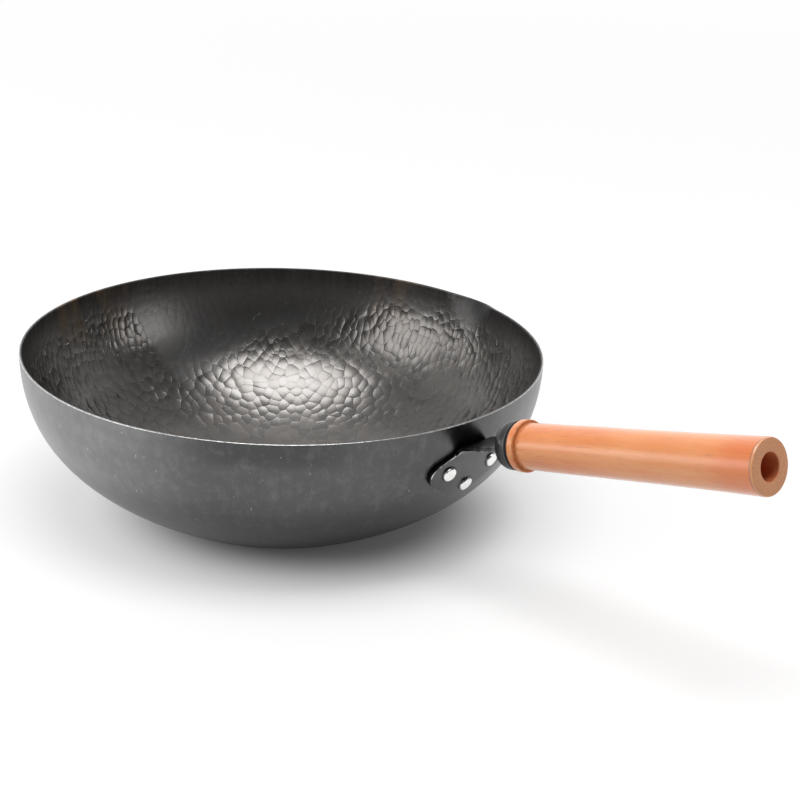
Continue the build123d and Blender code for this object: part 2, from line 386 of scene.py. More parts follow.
bowlLook = {
    **millimetres(markSize=6.6, upperSize=4.8, upperStart=140, upperEnd=172, pressedDepth=0.05, swell=0.5,
                  dishDepth=0.13, ridgeHeight=0.032, wander=1.2, pebble=0.012, pebbleSize=1.6,
                  stretchStart=120, stretchEnd=200, smoothMiddle=112, fade=24, dullHeight=28, dullFull=6,
                  dullGone=17, grainHeight=0.2),
    "dishCurve": 3.2, "dishLimit": 2.0, "ridgeShare": 0.12, "tilt": 0.022, "evenness": 0.88,
    "stretch": 0.05, "upperStretch": 0.10, "wornMiddle": 0.24, "faint": 0.22,
    "rough": 0.285, "roughOutside": 0.32, "roughRim": 0.3, "dullGap": 2.36, "grainStrength": 0.08,
}
# the height in mm where the marks fade, by bearing in degrees: they stop low on one side of the back
marksEnd = {-180: 83, -172: 86, -90: 86, 60: 86, 84: 84, 107: 86, 114: 78, 119: 72, 127: 65, 137: 60,
            145: 55, 150: 49, 159: 41, 166: 34, 170: 50, 175: 80, 180: 83}
bowlColours = {
    "steel": (0.19, 0.186, 0.184), "cloudy": (0.155, 0.152, 0.152), "marked": (0.23, 0.212, 0.194),
    # dark is painted shade inside, beside the marks and in a low ring
    "bare": (0.50, 0.49, 0.48), "plain": (0.34, 0.333, 0.325), "dark": grey(0.05), "besideLip": grey(0.03),
    "band": (0.055, 0.053, 0.052), "heatTint": (0.36, 0.25, 0.16), "outside": (0.122, 0.123, 0.126),
    # on the outside, pale is painted sheen, and foot and shade are painted shade
    "pale": (0.29, 0.29, 0.295), "foot": (0.04, 0.04, 0.042), "cloud": (0.07, 0.07, 0.072),
    "shade": grey(0.02), "patina": grey(0.07), "patinaPale": grey(0.34), "scuff": grey(0.40),
    "nick": grey(0.75), "rim": (0.85, 0.85, 0.83),
}
bowlNoise = {
    # on the flattened sheet or in space: scale, detail, roughness
    "worn": (34.0, 2.0), "uneven": (75.0, 3.0), "swell": (45.0, 2.0), "grain": (900.0, 4.0, 0.6),
    "cloud": (22.0, 4.0, 0.55), "scuffZone": (16.0, 2.0),
}
bowlStreaks = {
    # stretched by bearing and height: their scales, detail, roughness, distortion
    "band": ((40.0, 14.0, 1.0), 3.0, 0.6), "tint": ((9.0, 16.0), 4.0, 0.65),
    "patina": ((22.0, 110.0), 5.0, 0.68), "scuffs": ((60.0, 130.0), 5.0, 0.75, 0.6),
    "nicks": ((75.0, 150.0), 2.0, 0.6), "chips": ((45.0, 300.0), 3.0, 0.7),
}
bowlBands = {
    # heights in mm where each starts and is full, and the strengths there if they aren't 0 and 1
    # foot darkens the outside towards the base as painted shade
    "band": (78, 98), "foot": (24, 66, 0.82, 0.0), "plainFrom": (46, 56), "plainTo": (72, 60),
    "nicks": (50, 60),
}
bowlAreas = {
    # bearing, full within and gone beyond in radians, share; heights in mm where it starts and is full
    "tintBack": (-2.95, 0.08, 0.32, 1.0, 55, 90), "tintLip": (1.85, 0.02, 0.25, 0.35, 55, 90),
    # the next two are painted sheen on the outside
    "paleLeft": (radians(-108.0), 0.30, 0.90, 1.0), "paleRight": (0.45, 0.15, 0.45, 0.45),
    "front": (-0.22, 0.12, 0.50, 0.42, 72, 36), "under": (-0.80, 0.12, 0.40, 0.42, 80, 92),
    # the next two are painted highlights inside
    "bareLeft": (-2.72, 0.10, 0.45, 0.75, 50, 80), "bareRight": (1.02, 0.05, 0.32, 0.45, 50, 80),
    # the next two are painted shade inside
    "beside": (2.62, 0.10, 0.32, 0.62, 78, 48), "lip": (radians(lip["bearing"]), 0.04, 0.13, 0.5, 72, 90),
}


def belt(b, z, name):
    start, full, *strengths = bowlBands[name]
    return b.steps(z, start * mm, full * mm, *strengths)


def area(b, turn, z, name):
    # how strong one of the steel's areas is: by bearing, also across the back, and by height
    bearing, full, gone, strength, *heights = bowlAreas[name]
    away = abs(turn - bearing)
    if bearing - gone < -pi:
        away = b.maths("MINIMUM", away, abs(turn - (bearing + 2 * pi)))
    share = b.steps(away, full, gone, strength, 0.0)
    return share * b.steps(z, *[height * mm for height in heights]) if heights else share


def hammerMarks(b, flat):
    # dishes with raised edges between them: their depth, the crisp edges, and how strong each place is
    look = bowlLook
    along = b.vectorMaths("LENGTH", flat)
    low = markLayer(b, flat, along, look["markSize"], look["stretch"])
    high = markLayer(b, flat, along, look["upperSize"], look["upperStretch"])
    upper = b.steps(along, look["upperStart"], look["upperEnd"])
    dish, crisp, shade = [first + (second - first) * upper for first, second in zip(low, high)]
    crisp = crisp + b.noise(flat, 1 / look["pebbleSize"], 3.0, 0.6) * look["pebble"]
    worn = b.steps(along, look["smoothMiddle"] * 0.87, look["smoothMiddle"], look["wornMiddle"], 1.0)
    patches = b.steps(b.noise(flat, *bowlNoise["worn"]), 0.32, 0.68, 0.55, 1.15)
    return dish, crisp, worn * patches, shade


def markZone(b, flat, share):
    # the marks end unevenly, and faint ones go on beyond their end
    uneven = share * (b.noise(flat, *bowlNoise["uneven"]) * 1.4 + 0.3)
    zone = b.steps(uneven, 0.15, 0.85)
    return b.maths("MAXIMUM", zone, b.maths("MINIMUM", share, bowlLook["faint"]))


def markLayer(b, flat, along, size, stretch):
    # one size of marks; away from the middle they are drawn out along the wall
    look = bowlLook
    drawn = b.steps(along, look["stretchStart"], look["stretchEnd"], 1.0, 1 - stretch)
    drift = b.noise(flat, 1 / (size * 2.0), 3.0, output="Color")
    drift = b.vectorMaths("MULTIPLY_ADD", drift, (2 * look["wander"],) * 3, (-look["wander"],) * 3)
    marked = b.vectorMaths("ADD", b.vectorMaths("SCALE", flat, drawn), drift)
    values = {"Vector": marked, "Scale": 1 / size, "Randomness": look["evenness"]}

    def cells(feature, output):
        return b.node("ShaderNodeTexVoronoi", values, output, voronoi_dimensions="2D", feature=feature)

    reach, middle = cells("F1", "Distance"), cells("F1", "Position")
    each, other, third = b.parts(cells("F1", "Color"))
    dish = b.maths("MINIMUM", reach * reach * look["dishCurve"] * (each * 0.4 + 0.8), look["dishLimit"])
    off = b.vectorMaths("SUBTRACT", marked, middle)
    lean = b.vectorMaths("DOT_PRODUCT", off, b.vector(each - 0.5, other - 0.5))
    broken = b.steps(b.noise(flat, 1 / (size * 1.4), 2.0), 0.40, 0.60, 0.15, 1.3)
    crisp = b.steps(cells("DISTANCE_TO_EDGE", "Distance"), look["ridgeShare"], 0.0)
    crisp = crisp * look["ridgeHeight"] * broken
    crisp = crisp + dish * look["dishDepth"] * (third * 0.6 + 0.7) + lean * (2 * look["tilt"])
    return dish, crisp, other


def outsideColour(b, turn, z, cloud, patina):
    # painted sheen on one side and beside the handle, painted shade towards the base, low by the handle and
    # under the front rim, and a fine patina
    colours = bowlColours
    shares = {name: area(b, turn, z, name) for name in ("paleLeft", "paleRight", "front", "under")}
    return b.coats(
        colours["outside"],
        # painted sheen: paler where lamp light and the bright floor are reflected
        (shares["paleLeft"] + shares["paleRight"], colours["pale"]),
        # painted shade: darker towards the base, where the shadowed floor is reflected
        (belt(b, z, "foot"), colours["foot"]),
        # painted shade low by the handle and just under the front rim
        (shares["front"] + shares["under"], colours["shade"]),
        (b.steps(cloud, 0.35, 0.7) * 0.18, colours["cloud"]),
        (b.steps(patina, 0.28, 0.72, 0.32, 0.0, smooth=False), colours["patina"]),
        (b.steps(patina, 0.50, 0.80, 0.0, 0.20, smooth=False), colours["patinaPale"]))


def insideColour(b, turn, z, base, inside, zone, shade, band):
    # brighter in the marks, painted highlights at the ends, painted shade beside them, low down and by the
    # lip, and tinted brown by heat in upright streaks
    look, colours = bowlLook, bowlColours
    plain = (1 - zone) * belt(b, z, "plainFrom") * belt(b, z, "plainTo") * b.steps(turn, 2.0, 2.5)
    dull = b.near(z, look["dullHeight"], look["dullFull"], look["dullGone"])
    dull = dull * b.steps(abs(turn - look["dullGap"]), 0.30, 0.60)
    tinted = b.steps(b.stretchedNoise((turn, z), *bowlStreaks["tint"]), 0.40, 0.64)
    tint = (area(b, turn, z, "tintBack") + area(b, turn, z, "tintLip")) * tinted
    streaks = b.stretchedNoise((turn, z, inside), *bowlStreaks["band"])
    return b.coats(
        base,
        # partly the marks' own tone, partly painted light: its warm tint stands in for the warm lamp light
        (zone * (shade * 0.35 + 0.25), colours["marked"]),
        # painted highlight: lighter patches high at both ends of the inner wall, where lamps are reflected
        ((area(b, turn, z, "bareLeft") + area(b, turn, z, "bareRight")) * inside, colours["bare"]),
        (plain * inside * 0.36, colours["plain"]),
        # painted shade on the back wall beside the marks, below the rim
        (area(b, turn, z, "beside") * (1 - zone) * inside, colours["dark"]),
        # painted shade: a darker ring low on the inner wall, away from the lit middle
        (dull * inside * 0.34, colours["dark"]),
        (band * (streaks * 0.6 + 0.5), colours["band"]),
        # painted shade inside beside the pressed lip
        (area(b, turn, z, "lip") * inside, colours["besideLip"]),
        (tint * inside * 0.7, colours["heatTint"]))


def bowlFinish():
    look, colours = bowlLook, bowlColours
    b, place = newFinish("hammeredSteel")
    flat = b.attribute("flatPlace", "Vector")
    inside, rim = b.attribute("inside"), b.attribute("cutRim")
    _, crisp, depth, shade = hammerMarks(b, flat)
    zone = markZone(b, flat, b.attribute("hammered"))
    x, y, z = b.parts(place)
    turn = b.maths("ARCTAN2", y, x)
    cloud = b.noise(place, *bowlNoise["cloud"])
    patina = b.stretchedNoise((turn, z), *bowlStreaks["patina"])
    band = belt(b, z, "band") * inside
    steel = b.mix(b.steps(cloud, 0.35, 0.7) * 0.5, colours["steel"], colours["cloudy"])
    base = b.mix(inside, outsideColour(b, turn, z, cloud, patina), steel)
    base = insideColour(b, turn, z, base, inside, zone, shade, band)

    # scuffs and nicks on the outside, and chips on the cut rim
    scuffZone = b.noise(place, *bowlNoise["scuffZone"])
    scuff = b.steps(b.stretchedNoise((turn, z), *bowlStreaks["scuffs"]), 0.62, 0.72)
    scuff = scuff * b.steps(scuffZone, 0.46, 0.58)
    nicks = b.steps(b.stretchedNoise((turn, z), *bowlStreaks["nicks"]), 0.70, 0.76)
    nicks = nicks * b.steps(scuffZone, 0.42, 0.52) * belt(b, z, "nicks")
    chips = b.steps(b.stretchedNoise((turn, z), *bowlStreaks["chips"]), 0.35, 0.6, 0.45, 1.0)
    base = b.coats(base, (scuff * (1 - inside) * 0.5, colours["scuff"]),
                   (nicks * (1 - inside) * 0.7, colours["nick"]), (rim * chips, colours["rim"]))

    rough = look["roughOutside"] + (cloud - 0.5) * 0.14 + (patina - 0.5) * 0.16
    roughInside = look["rough"] + (shade - 0.5) * 0.08 * zone + (cloud - 0.5) * 0.10
    roughInside = roughInside + band * 0.05 + (1 - zone) * 0.09
    rough = rough + (roughInside - rough) * inside
    rough = rough + (look["roughRim"] - rough) * rim
    fine = b.bump(b.noise(place, *bowlNoise["grain"]), look["grainStrength"], look["grainHeight"])
    ridges = b.bump(crisp * depth * zone, 1.0, 1.0, fine)
    return surface(b, {"Base Color": base, "Metallic": 1.0, "Roughness": rough, "Normal": ridges})


fineGrain = {
    # the noise's scale and detail, the bump's strength and its height in mm
    "bracket": (1400.0, 2.0, 0.16, 0.1), "collar": (1800.0, 2.0, 0.08, 0.1),
    "plate": (2500.0, 2.0, 0.1, 0.05),
}


def grain(b, place, name):
    scale, detail, strength, height = fineGrain[name]
    return b.bump(b.noise(place, scale, detail), strength, height * mm)


bracketLook = {
    # dark is painted shade, and edge is a painted highlight
    "dark": grey(0.02), "low": grey(0.05), "edge": (0.75, 0.75, 0.74), "paint": (0.105, 0.105, 0.108),
    "paintPale": (0.135, 0.135, 0.138), "darkBelow": (54 * mm, 76 * mm), "seam": (5.2 * mm, 6.0 * mm),
}


def bracketFinish():
    look = bracketLook
    b, place = newFinish("darkSteel")
    cloud = b.noise(place, 60.0, 4.0, 0.6)
    _, _, z = b.parts(place)
    base = b.coats(b.mix(b.steps(cloud, 0.3, 0.75), look["paint"], look["paintPale"]),
                   (b.steps(z, *look["darkBelow"], 0.5, 0.0), look["low"]),
                   # painted shade on the plate's side faces
                   (b.attribute("darkSide"), look["dark"]))
    for name in ("rivet_left", "rivet_right", "rivet_lower"):
        spot = sum((Vector(c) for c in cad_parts[name].bound_box), Vector()) / 8
        away = b.vectorMaths("DISTANCE", place, tuple(spot))
        # painted contact shadow round each rivet head, with some dirt
        base = b.mix(b.steps(away, *look["seam"], 0.8, 0.0), base, look["dark"])
    # painted highlight on the sheet's rounded edges, broken up by noise
    worn = b.attribute("wornEdge") * b.steps(b.noise(place, 260.0, 3.0), 0.3, 0.6)
    return surface(b, {"Base Color": b.mix(worn, base, look["edge"]), "Metallic": 1.0,
                       "Roughness": 0.29 + (cloud - 0.5) * 0.10,
                       "Normal": grain(b, place, "bracket")})


def rivetFinish():
    b, place = newFinish("brightAluminium")
    drawn = b.vectorMaths("MULTIPLY", place, (0.35, 1.0, 2.4))
    scratches = b.noise(drawn, 1500.0, 3.0, 0.6)
    marks = b.noise(place, 500.0, 2.0)
    base = b.mix(b.steps(marks, 0.3, 0.7), (0.90, 0.90, 0.89), (0.98, 0.98, 0.97))
    return surface(b, {"Base Color": base, "Metallic": 1.0, "Roughness": 0.24 + marks * 0.16,
                       "Normal": b.bump(scratches, 0.3, 0.08 * mm)})


def handlePlace(b, place):
    # coordinates that follow the handle: X along it from its root
    return b.node("ShaderNodeMapping", {
        "Vector": place, "Location": tuple(handleStart),
        "Rotation": (0, -radians(shape["handleTilt"]), 0)}, vector_type="TEXTURE")


collarLook = {
    # edge is a painted highlight line and gap is painted shadow at the back end
    "black": (0.014, 0.014, 0.015), "blackPale": (0.028, 0.028, 0.030), "edge": grey(0.10),
    "gap": grey(0.003), "edgeStart": (35.0 * mm, 35.3 * mm), "gapStart": (35.6 * mm, 35.8 * mm),
}


def collarFinish():
    look = collarLook
    b, place = newFinish("mouldedBlack")
    cloud = b.noise(place, 120.0, 4.0, 0.6)
    along, _, _ = b.parts(handlePlace(b, place))
    # painted shadow: the collar's back end is near black for the gap at the grip
    gap = b.steps(along, *look["gapStart"])
    # with a painted highlight line just before it, as on a lit rounded edge
    base = b.coats(look["black"], (cloud, look["blackPale"]),
                   (b.steps(along, *look["edgeStart"]), look["edge"]), (gap, look["gap"]))
    return surface(b, {"Base Color": base, "Roughness": 0.25 + (cloud - 0.5) * 0.10 + gap * 0.4,
                       "Normal": grain(b, place, "collar")})


def rubberFinish():
    b, place = newFinish("mattRubber")
    specks = b.noise(place, 900.0, 3.0)
    return surface(b, {"Base Color": b.mix(specks, grey(0.010), grey(0.020)), "Roughness": 0.6 + specks * 0.1,
                       "Normal": b.bump(specks, 0.2, 0.1 * mm)})


def platedFinish():
    b, place = newFinish("zincPlate")
    cloud = b.noise(place, 300.0, 4.0, 0.6)
    return surface(b, {"Base Color": b.mix(cloud, (0.46, 0.46, 0.45), (0.66, 0.66, 0.64)), "Metallic": 1.0,
                       "Roughness": 0.26 + cloud * 0.16,
                       "Normal": grain(b, place, "plate")})


grip = {
    **millimetres(start=37.6, length=173, bead=15.1, beadLength=5.6, beadRound=1.6, groove=13.1,
                  grooveWidth=1.6, grooveRound=0.4, waist=13.3, middle=14.15, swell=14.85, butt=15.9,
                  bevel=1.4, bevelDepth=0.4, bevelRun=2, buttRound=0.5, endRound=0.4, hang=7.8, hangDepth=38,
                  hangRound=0.8, seat=6.6, seatDepth=9, seatRound=0.2, bossBore=6.2, bossEnd=52.3,
                  screwBore=3.2, waver=0.12, waverSize=14),
    "middleShare": 0.42, "swellShare": 0.72, "paleShare": 0.62,
}
woodColours = {
    "palest": (0.93, 0.41, 0.15), "pale": (0.89, 0.295, 0.076), "deep": (0.83, 0.225, 0.04),
    "pore": (0.50, 0.15, 0.04), "redEnd": (0.78, 0.13, 0.0), "cut": (0.86, 0.31, 0.135),
    "cutPale": (1.0, 0.56, 0.32), "bevel": (0.95, 0.48, 0.22), "seam": (0.40, 0.14, 0.05),
    "bore": (0.66, 0.205, 0.085), "groove": (0.52, 0.20, 0.085), "front": (0.40, 0.15, 0.06),
    "gap": (0.02, 0.014, 0.01),
}
woodMarks = {
    **millimetres(wander=8, paleFull=20, paleGone=55, seamBack=0.2, seamFull=0.3, seamGone=0.7,
                  grooveRagged=9.5, frontRagged=2, rawHeight=0.2, poreHeight=0.1),
    # in mm past the place that each is measured from: where it starts and where it is full
    "red": (-34, -10), "cut": (-0.3, -0.1), "bevel": (-0.4, 0.3), "bevelFoot": (12, 13.5),
    "bore": (0.6, -0.2), "groove": (2.2, 0.6), "front": (1.6, 0.2), "gap": (1.3, 0.9),
}
woodGrain = {
    # scales along and across the grip, detail, roughness
    "rings": (7.0, 260.0, 3.0, 0.55), "figure": (26.0, 75.0, 3.0, 0.6), "pores": (70.0, 1700.0, 2.0, 0.5),
    "flecks": (150.0, 950.0, 3.0, 0.6),
}


def woodFinish():
    size, colours, marks = grip, woodColours, woodMarks
    start, end = size["start"], size["start"] + size["length"]
    # the middle of the painted sheen along the grip
    palest = start + size["length"] * size["paleShare"]
    b, place = newFinish("varnishedWood")
    own = handlePlace(b, place)
    x, y, z = b.parts(own)
    radius = (y * y + z * z) ** 0.5
    drawn = b.vectorMaths("MULTIPLY", own, (6.0, 30.0, 30.0))
    wander = b.noise(drawn, 1.0, 2.0, 0.5, output="Color")
    _, bentY, bentZ = b.parts(b.vectorMaths("MULTIPLY_ADD", wander, (marks["wander"],) * 3, own))

    def fibres(name, y, z):
        along, across, detail, roughness = woodGrain[name]
        return b.stretchedNoise((x, y, z), (along, across, across), detail, roughness)

    def past(value, start, name, strength=1.0):
        first, full = marks[name]
        return b.steps(value, start + first * mm, start + full * mm, 0.0, strength)

    figure = fibres("figure", bentY, bentZ)
    pore = b.steps(fibres("pores", y, z), 0.60, 0.72)
    base = b.mix(b.steps(figure, 0.32, 0.68), colours["deep"], colours["pale"])
    base = b.coats(
        base,
        (b.steps(fibres("rings", bentY, bentZ), 0.45, 0.75) * 0.6, colours["palest"]),
        (pore * 0.5, colours["pore"]),
        (b.steps(fibres("flecks", y, z), 0.58, 0.76) * 0.45, colours["pore"]),
        # painted sheen: paler across the middle of the grip, where a lamp's highlight falls
        (b.near(x, palest, marks["paleFull"], marks["paleGone"], 0.28), colours["palest"]),
        (past(x, end, "red", 0.4), colours["redEnd"]))

    # the end: bare cut wood, a pale bevel that is a painted highlight with a dark line of painted shade where
    # it begins, and the bore
    cut = past(x, end, "cut")
    specks = b.noise(own, 1500.0, 4.0, 0.7)
    edge = end - size["bevel"]
    bevel = past(x, edge, "bevel") * (1 - cut) * past(radius, 0, "bevelFoot")
    bore = past(radius, size["hang"], "bore")
    base = b.coats(
        base,
        (cut, b.mix(b.steps(specks, 0.35, 0.65), colours["cut"], colours["cutPale"])),
        # painted highlight round the end's bevel
        (bevel * 0.7, colours["bevel"]),
        # painted shade where the bevel begins
        (b.near(x, edge - marks["seamBack"], marks["seamFull"], marks["seamGone"], 0.7), colours["seam"]),
        (bore * 0.9, colours["bore"]))

    # the groove behind the bead is rough and dark; the front beside the collar is dark too, painted shade
    # with some dirt, and painted shadow fills the gap at the collar
    middle = start + size["beadLength"] + size["grooveWidth"] / 2
    ragged = b.noise(own, 420.0, 5.0, 0.75) - 0.5
    groove = past(abs(x - middle) + ragged * marks["grooveRagged"], 0, "groove")
    front = past(x + ragged * marks["frontRagged"], start, "front")
    # painted shade and dirt on the front, and painted shadow in the gap at the collar
    base = b.coats(base, (groove * 0.6, colours["groove"]), (front * 0.6, colours["front"]),
                   (past(x, start, "gap"), colours["gap"]))

    raw = b.maths("MAXIMUM", b.maths("MAXIMUM", cut, bore), groove)
    sunken = b.bump(pore * -1.0, 0.18, marks["poreHeight"])
    relief = b.bump(specks * raw, 0.5, marks["rawHeight"], sunken)
    return surface(b, {"Base Color": base, "Roughness": 0.36 + (figure - 0.5) * 0.12 + raw * 0.35,
                       "Coat Weight": 1 - raw, "Coat Roughness": 0.27, "Normal": relief})


finishes = {
    "bowl": bowlFinish(), "bracket": bracketFinish(), "rivet": rivetFinish(), "collar": collarFinish(),
    "rubber": rubberFinish(), "plate": platedFinish(), "wood": woodFinish(),
}
print("finishes made:", len(finishes))


# the bowl is a closed shell, pressed with its lip, then hammered by a geometry tree
bowlMesh = {
    **millimetres(ringStep=1.25, bandStep=2.2, marksTop=92, outsideStep=6.0, outsideStart=72.2, fineStep=1.8,
                  fineReach=24, rimRound=0.6, rimBeside=0.25),
    "mostRound": 704, "fewestRound": 44, "narrowest": 0.56, "outsideRound": 352,
}


def pressLip(points):
    # moves points outwards where the lip is pressed, and lowers the lip's edge
    radius = np.hypot(points[:, 0], points[:, 1])
    turn = np.arctan2(points[:, 1], points[:, 0]) - radians(lip["bearing"])
    turn = (turn + pi) % (2 * pi) - pi
    share = np.clip((points[:, 2] - shape["height"] + lip["fall"]) / lip["fall"], 0, 1)
    across = np.where(np.abs(turn) < 0.5, radius * np.sin(turn), 1.0)
    reach = across / (lip["width"] / 2 * (lip["foot"] + (1 - lip["foot"]) * share))
    bulge = 1 - reach ** 2
    bulge = (bulge + np.sqrt(bulge ** 2 + 4 * lip["softness"] ** 2)) / 2
    bulge = np.clip(bulge - lip["softness"] ** 2, 0, 1)
    scale = 1 + np.where(radius > 0, lip["reach"] * share ** 3 * bulge / np.maximum(radius, 1e-9), 0)
    points[:, 0] *= scale
    points[:, 1] *= scale
    points[:, 2] -= lip["dip"] * bulge * share ** 3
    return points


def rimRows(rIn, rOut, along):
    # the rim's rounded edge, from the inside over the top to the outside, bright where the sheet is cut
    top, bend = shape["height"], bowlMesh["rimRound"]
    inner = [(a, rIn, bend, bowlMesh["mostRound"], 1.0, 0.0) for a in (60, 30, 0)]
    outer = [(a, rOut, -bend, bowlMesh["outsideRound"], 0.0, bright)
             for a, bright in ((0, 0.0), (30, 1.0), (60, 0.7), (90, 0.0))]
    return [(r + side * (1 - sin(radians(a))), top - bend * (1 - cos(radians(a))), n, along, 0.0, *rest)
            for a, r, side, n, *rest in inner + outer]


def joinRings(a, na, b, nb):
    # faces between two rings: a fan from a single point, and five corners where one has twice the points
    if na == 1:
        yield from ([a, b + i, b + (i + 1) % nb] for i in range(nb))
        return
    if nb == 1:
        yield from ([b, a + (i + 1) % na, a + i] for i in range(na))
        return
    least = min(na, nb)
    stepsA, stepsB = na // least, nb // least
    for i in range(least):
        near = [b + (i * stepsB + k) % nb for k in range(stepsB + 1)]
        back = [a + (i * stepsA + k) % na for k in range(stepsA, 0, -1)]
        yield [a + i * stepsA, *near, *back]


def bowlPiece():
    size = bowlMesh
    insideLine, outsideLine = bowlLine(shape["sheet"]), bowlLine(0)
    insideLength, outsideLength = lengths(insideLine)[-1], lengths(outsideLine)[-1]
    smoothStart = float(np.interp(size["marksTop"], insideLine[:, 1], lengths(insideLine)))
    places = list(np.arange(3 * size["ringStep"], smoothStart, size["ringStep"]))
    left = insideLength - places[-1] - size["rimRound"]
    count = ceil(left / size["bandStep"])
    places += [places[-1] + left * (k + 1) / count for k in range(count)]
    places.insert(-1, places[-1] - size["rimBeside"])
    # radius, height, points round, place along the sheet, hammered, inside, cut rim
    rows = [(0, shape["sheet"], 1, 0, 1.0, 1.0, 0.0)]
    for s in places:
        r, z = sampled(insideLine, s)
        n = size["mostRound"]
        while n > size["fewestRound"] and 2 * pi * r / n < size["ringStep"] * size["narrowest"]:
            n //= 2
        rows.append((r, z, n, s, 1.0, 1.0, 0.0))
    rows += rimRows(insideLine[-1][0], outsideLine[-1][0], insideLength)
    bend = size["rimRound"]
    fine = [outsideLength - bend - size["rimBeside"]]
    fine += list(np.arange(outsideLength - 2 * bend, outsideLength - size["fineReach"], -size["fineStep"]))
    coarse = list(np.arange(fine[-1] - size["outsideStep"], size["outsideStart"], -size["outsideStep"]))
    for s in fine + coarse + [size["outsideStart"]]:
        rows.append((*sampled(outsideLine, s), size["outsideRound"], insideLength, 0.0, 0.0, 0.0))
    rows.append((0, 0, 1, 0, 0.0, 0.0, 0.0))

    counts = [row[2] for row in rows]
    starts = [0, *np.cumsum(counts)]
    r, z, _, along, hammered, inside, cut = np.repeat(rows, counts, axis=0).T
    turn = np.concatenate([np.arange(n) * 2 * pi / n for n in counts])
    flat = np.stack([along * np.cos(turn), along * np.sin(turn), 0 * turn], axis=1)
    ends = mm * np.interp((turn + pi) % (2 * pi) - pi, np.radians(list(marksEnd)), list(marksEnd.values()))
    zone = hammered * np.clip(0.5 + (ends - z) / bowlLook["fade"], bowlLook["faint"], 1)
    faces = []
    for k, (na, nb) in enumerate(zip(counts, counts[1:])):
        faces += joinRings(starts[k], na, starts[k + 1], nb)
    points = pressLip(np.stack([r * np.cos(turn), r * np.sin(turn), z], axis=1))
    piece = meshPiece("bowlBlank", points, faces)
    for label, values in {"flatPlace": flat, "hammered": zone, "inside": inside, "cutRim": cut}.items():
        kind, key = ("FLOAT_VECTOR", "vector") if label == "flatPlace" else ("FLOAT", "value")
        piece.data.attributes.new(label, kind, "POINT").data.foreach_set(key, values.ravel())
    closeMesh(openMesh(piece.data), piece.data)
    return piece


def hammerTree():
    # presses the marks into the inside, and lets the sheet swell a little
    tree, b, entry = newTree("hammerMarks", [
        ("Pressed Depth", "Float", 0.2 * mm), ("Swell", "Float", 0.5 * mm), ("Material", "Material", None)])
    flat, share = [b.node("GeometryNodeInputNamedAttribute", {"Name": name}, data_type=kind)
                   for name, kind in (("flatPlace", "FLOAT_VECTOR"), ("hammered", "FLOAT"))]
    marks, _, depth, _ = hammerMarks(b, flat)
    swell = b.noise(flat, *bowlNoise["swell"]) - 0.5
    lift = (marks * depth * entry["Pressed Depth"] + swell * entry["Swell"]) * markZone(b, flat, share)
    push = b.vectorMaths("SCALE", b.node("GeometryNodeInputNormal"), lift)
    moved = b.node("GeometryNodeSetPosition", {"Geometry": entry["Geometry"], "Offset": push})
    endTree(b, moved, entry["Material"])
    return tree


bowl = throughTree(bowlPiece(), hammerTree(), {
    "Pressed Depth": bowlLook["pressedDepth"], "Swell": bowlLook["swell"], "Material": finishes["bowl"]},
    "bowl_hammered")
seat(bowl, ["bowl"], finishes["bowl"])
print("bowl hammered:", len(bowl.data.polygons), "faces")


# the bracket is a flat blank with rounded edges, bent along the wall and out into the tongue
bracket = {
    **millimetres(sheet=3, bend=5, film=0.15, tongueWidth=25, width=60.4, cornerRound=7.7, cornerHeight=70,
                  margin=10, neckRise=22.7, spread=17.5, upper=71.4, lower=60.3, start=28.1, end=34.2,
                  edgeRound=0.45, footRound=5, cutAlong=0.8, cutAcross=3),
    "steepening": 3.5, "wornBend": 0.22, "cutsAside": 10,
}


def bracketLine():
    # middle line of the sheet: up the wall, round the bend and out
    size = bracket
    inset = -size["film"] - size["sheet"] / 2
    wall = wallLine(inset, 4000)
    runs = unitRuns(wall)
    tilt = radians(shape["handleTilt"] + size["steepening"])
    run, side = np.array([cos(tilt), sin(tilt)]), np.array([sin(tilt), -cos(tilt)])
    crossing = handleRoot + handleRun * size["start"]
    radius = size["bend"] + size["sheet"] / 2
    centres = wall + np.stack([runs[:, 1], -runs[:, 0]], axis=1) * radius
    at = int(np.argmax(radius - (centres - crossing) @ side > 0))
    bend = arc(centres[at], wall[at] - centres[at], -side * radius, 23)[1:]
    tip = crossing + run * (size["end"] - size["start"]) / cos(radians(size["steepening"]))
    foot = int(np.argmax(wall[:, 1] > size["lower"] - size["margin"]))
    return np.concatenate([wall[foot:at + 1:12], wall[at:at + 1], bend, [tip]])


def bracketOutline(line):
    # half of the blank's outline, Y across and V along the sheet's middle line
    size = bracket
    half = size["tongueWidth"] / 2
    neck = size["lower"] + size["neckRise"]
    corner = size["cornerRound"]
    discs = [(0, size["lower"], size["margin"]), (size["width"] / 2 - corner, size["cornerHeight"], corner),
             (half, neck, 0)]
    turns = [-pi / 2]
    for (y, z, round1), (nextY, nextZ, round2) in zip(discs, discs[1:]):
        gap = np.hypot(nextY - y, nextZ - z)
        turns.append(atan2(nextZ - z, nextY - y) - acos((round1 - round2) / gap))
    corners = []
    for (y, z, bend), first, last in zip(discs, turns, turns[1:]):
        corners += [(y + bend * cos(a), z + bend * sin(a), 0) for a in np.linspace(first, last, 14)]
    corners += [(half, neck, size["footRound"]), (half, neck + size["neckRise"], 0)]
    along = lengths(line)
    rise = np.minimum.accumulate(line[::-1, 1])[::-1]
    outline = [(y, float(np.interp(z, rise, along))) for y, z in roundedLine(corners, 8)[:-1]]
    return outline + [(half, along[-1])]


